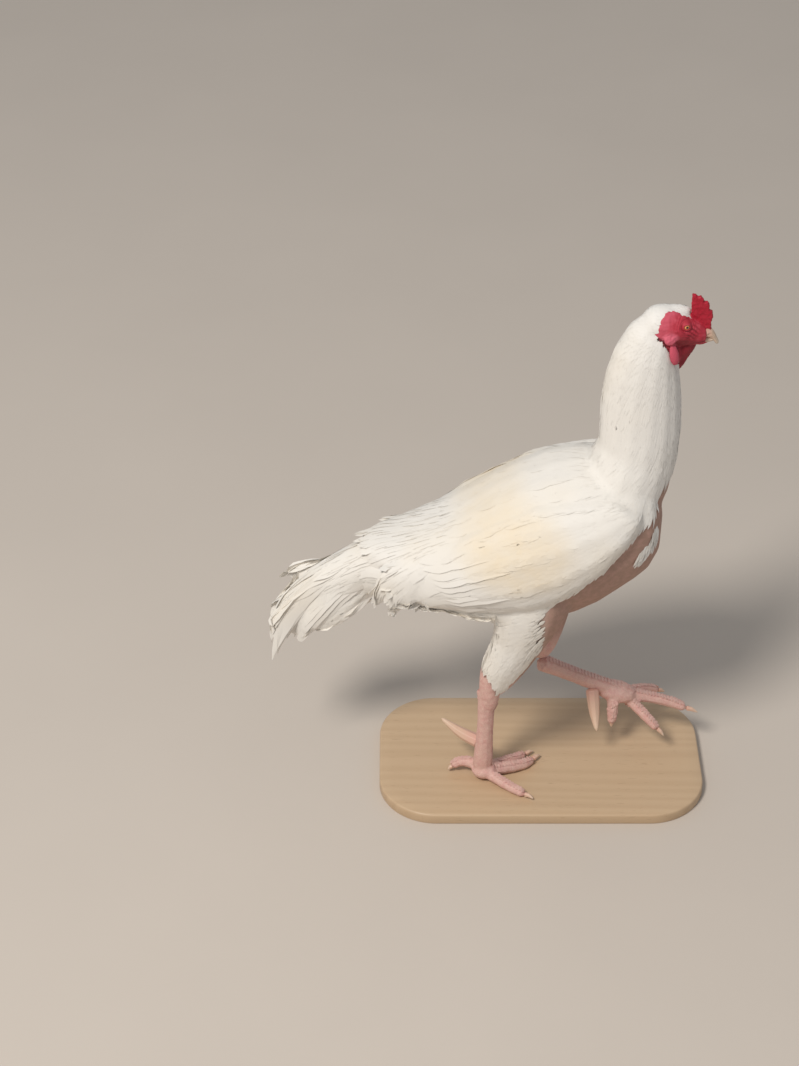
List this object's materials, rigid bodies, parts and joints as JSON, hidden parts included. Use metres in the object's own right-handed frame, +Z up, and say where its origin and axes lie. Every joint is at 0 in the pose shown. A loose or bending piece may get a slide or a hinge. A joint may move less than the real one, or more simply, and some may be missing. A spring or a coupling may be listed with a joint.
{
  "type": "rooster",
  "caption": "Life-size game rooster walking, neck upright and tail drooping, one foot planted on a flat base and the other swung forward.",
  "frame": {"origin": "middle of the flat underside of the display base", "axes": "+X the way the bird walks, +Y the bird's left, +Z up"},
  "size_m": [0.4525, 0.19, 0.578],
  "materials": {
    "plumage": "soft white feathers",
    "cream_plumage": "soft cream feathers",
    "face_skin": "wrinkled red bare skin",
    "comb_skin": "granular deep red flesh",
    "leg_skin": "flesh pink scales",
    "horn": "pale horn",
    "eye": "wet orange iris with a black pupil",
    "base_wood": "plain matt wood"
  },
  "bodies": {
    "root": {"beak_lower": "horn", "beak_upper": "horn", "claw_hallux_left": "horn", "claw_hallux_right": "horn", "claw_toe_2_left": "horn", "claw_toe_2_right": "horn", "claw_toe_3_left": "horn", "claw_toe_3_right": "horn", "claw_toe_4_left": "horn", "claw_toe_4_right": "horn", "comb": "comb_skin", "earlobe_left": "face_skin", "earlobe_right": "face_skin", "eye_left": "eye", "eye_right": "eye", "flight_left": "plumage", "flight_right": "plumage", "hallux_left": "leg_skin", "hallux_right": "leg_skin", "head": "face_skin", "neck": "plumage", "plume_left_1": "plumage", "plume_left_2": "plumage", "plume_left_3": "plumage", "plume_right_1": "plumage", "plume_right_2": "plumage", "plume_right_3": "plumage", "saddle_left": "cream_plumage", "saddle_right": "cream_plumage", "shank_left": "leg_skin", "shank_right": "leg_skin", "spur_left": "horn", "spur_right": "horn", "stand_base": "base_wood", "tail": "plumage", "thigh_left": "plumage", "thigh_right": "plumage", "throat": "face_skin", "toe_2_left": "leg_skin", "toe_2_right": "leg_skin", "toe_3_left": "leg_skin", "toe_3_right": "leg_skin", "toe_4_left": "leg_skin", "toe_4_right": "leg_skin", "trunk": "plumage", "wattle_left": "comb_skin", "wattle_right": "comb_skin", "wing_left": "cream_plumage", "wing_right": "cream_plumage"}
  },
  "joints": []
}
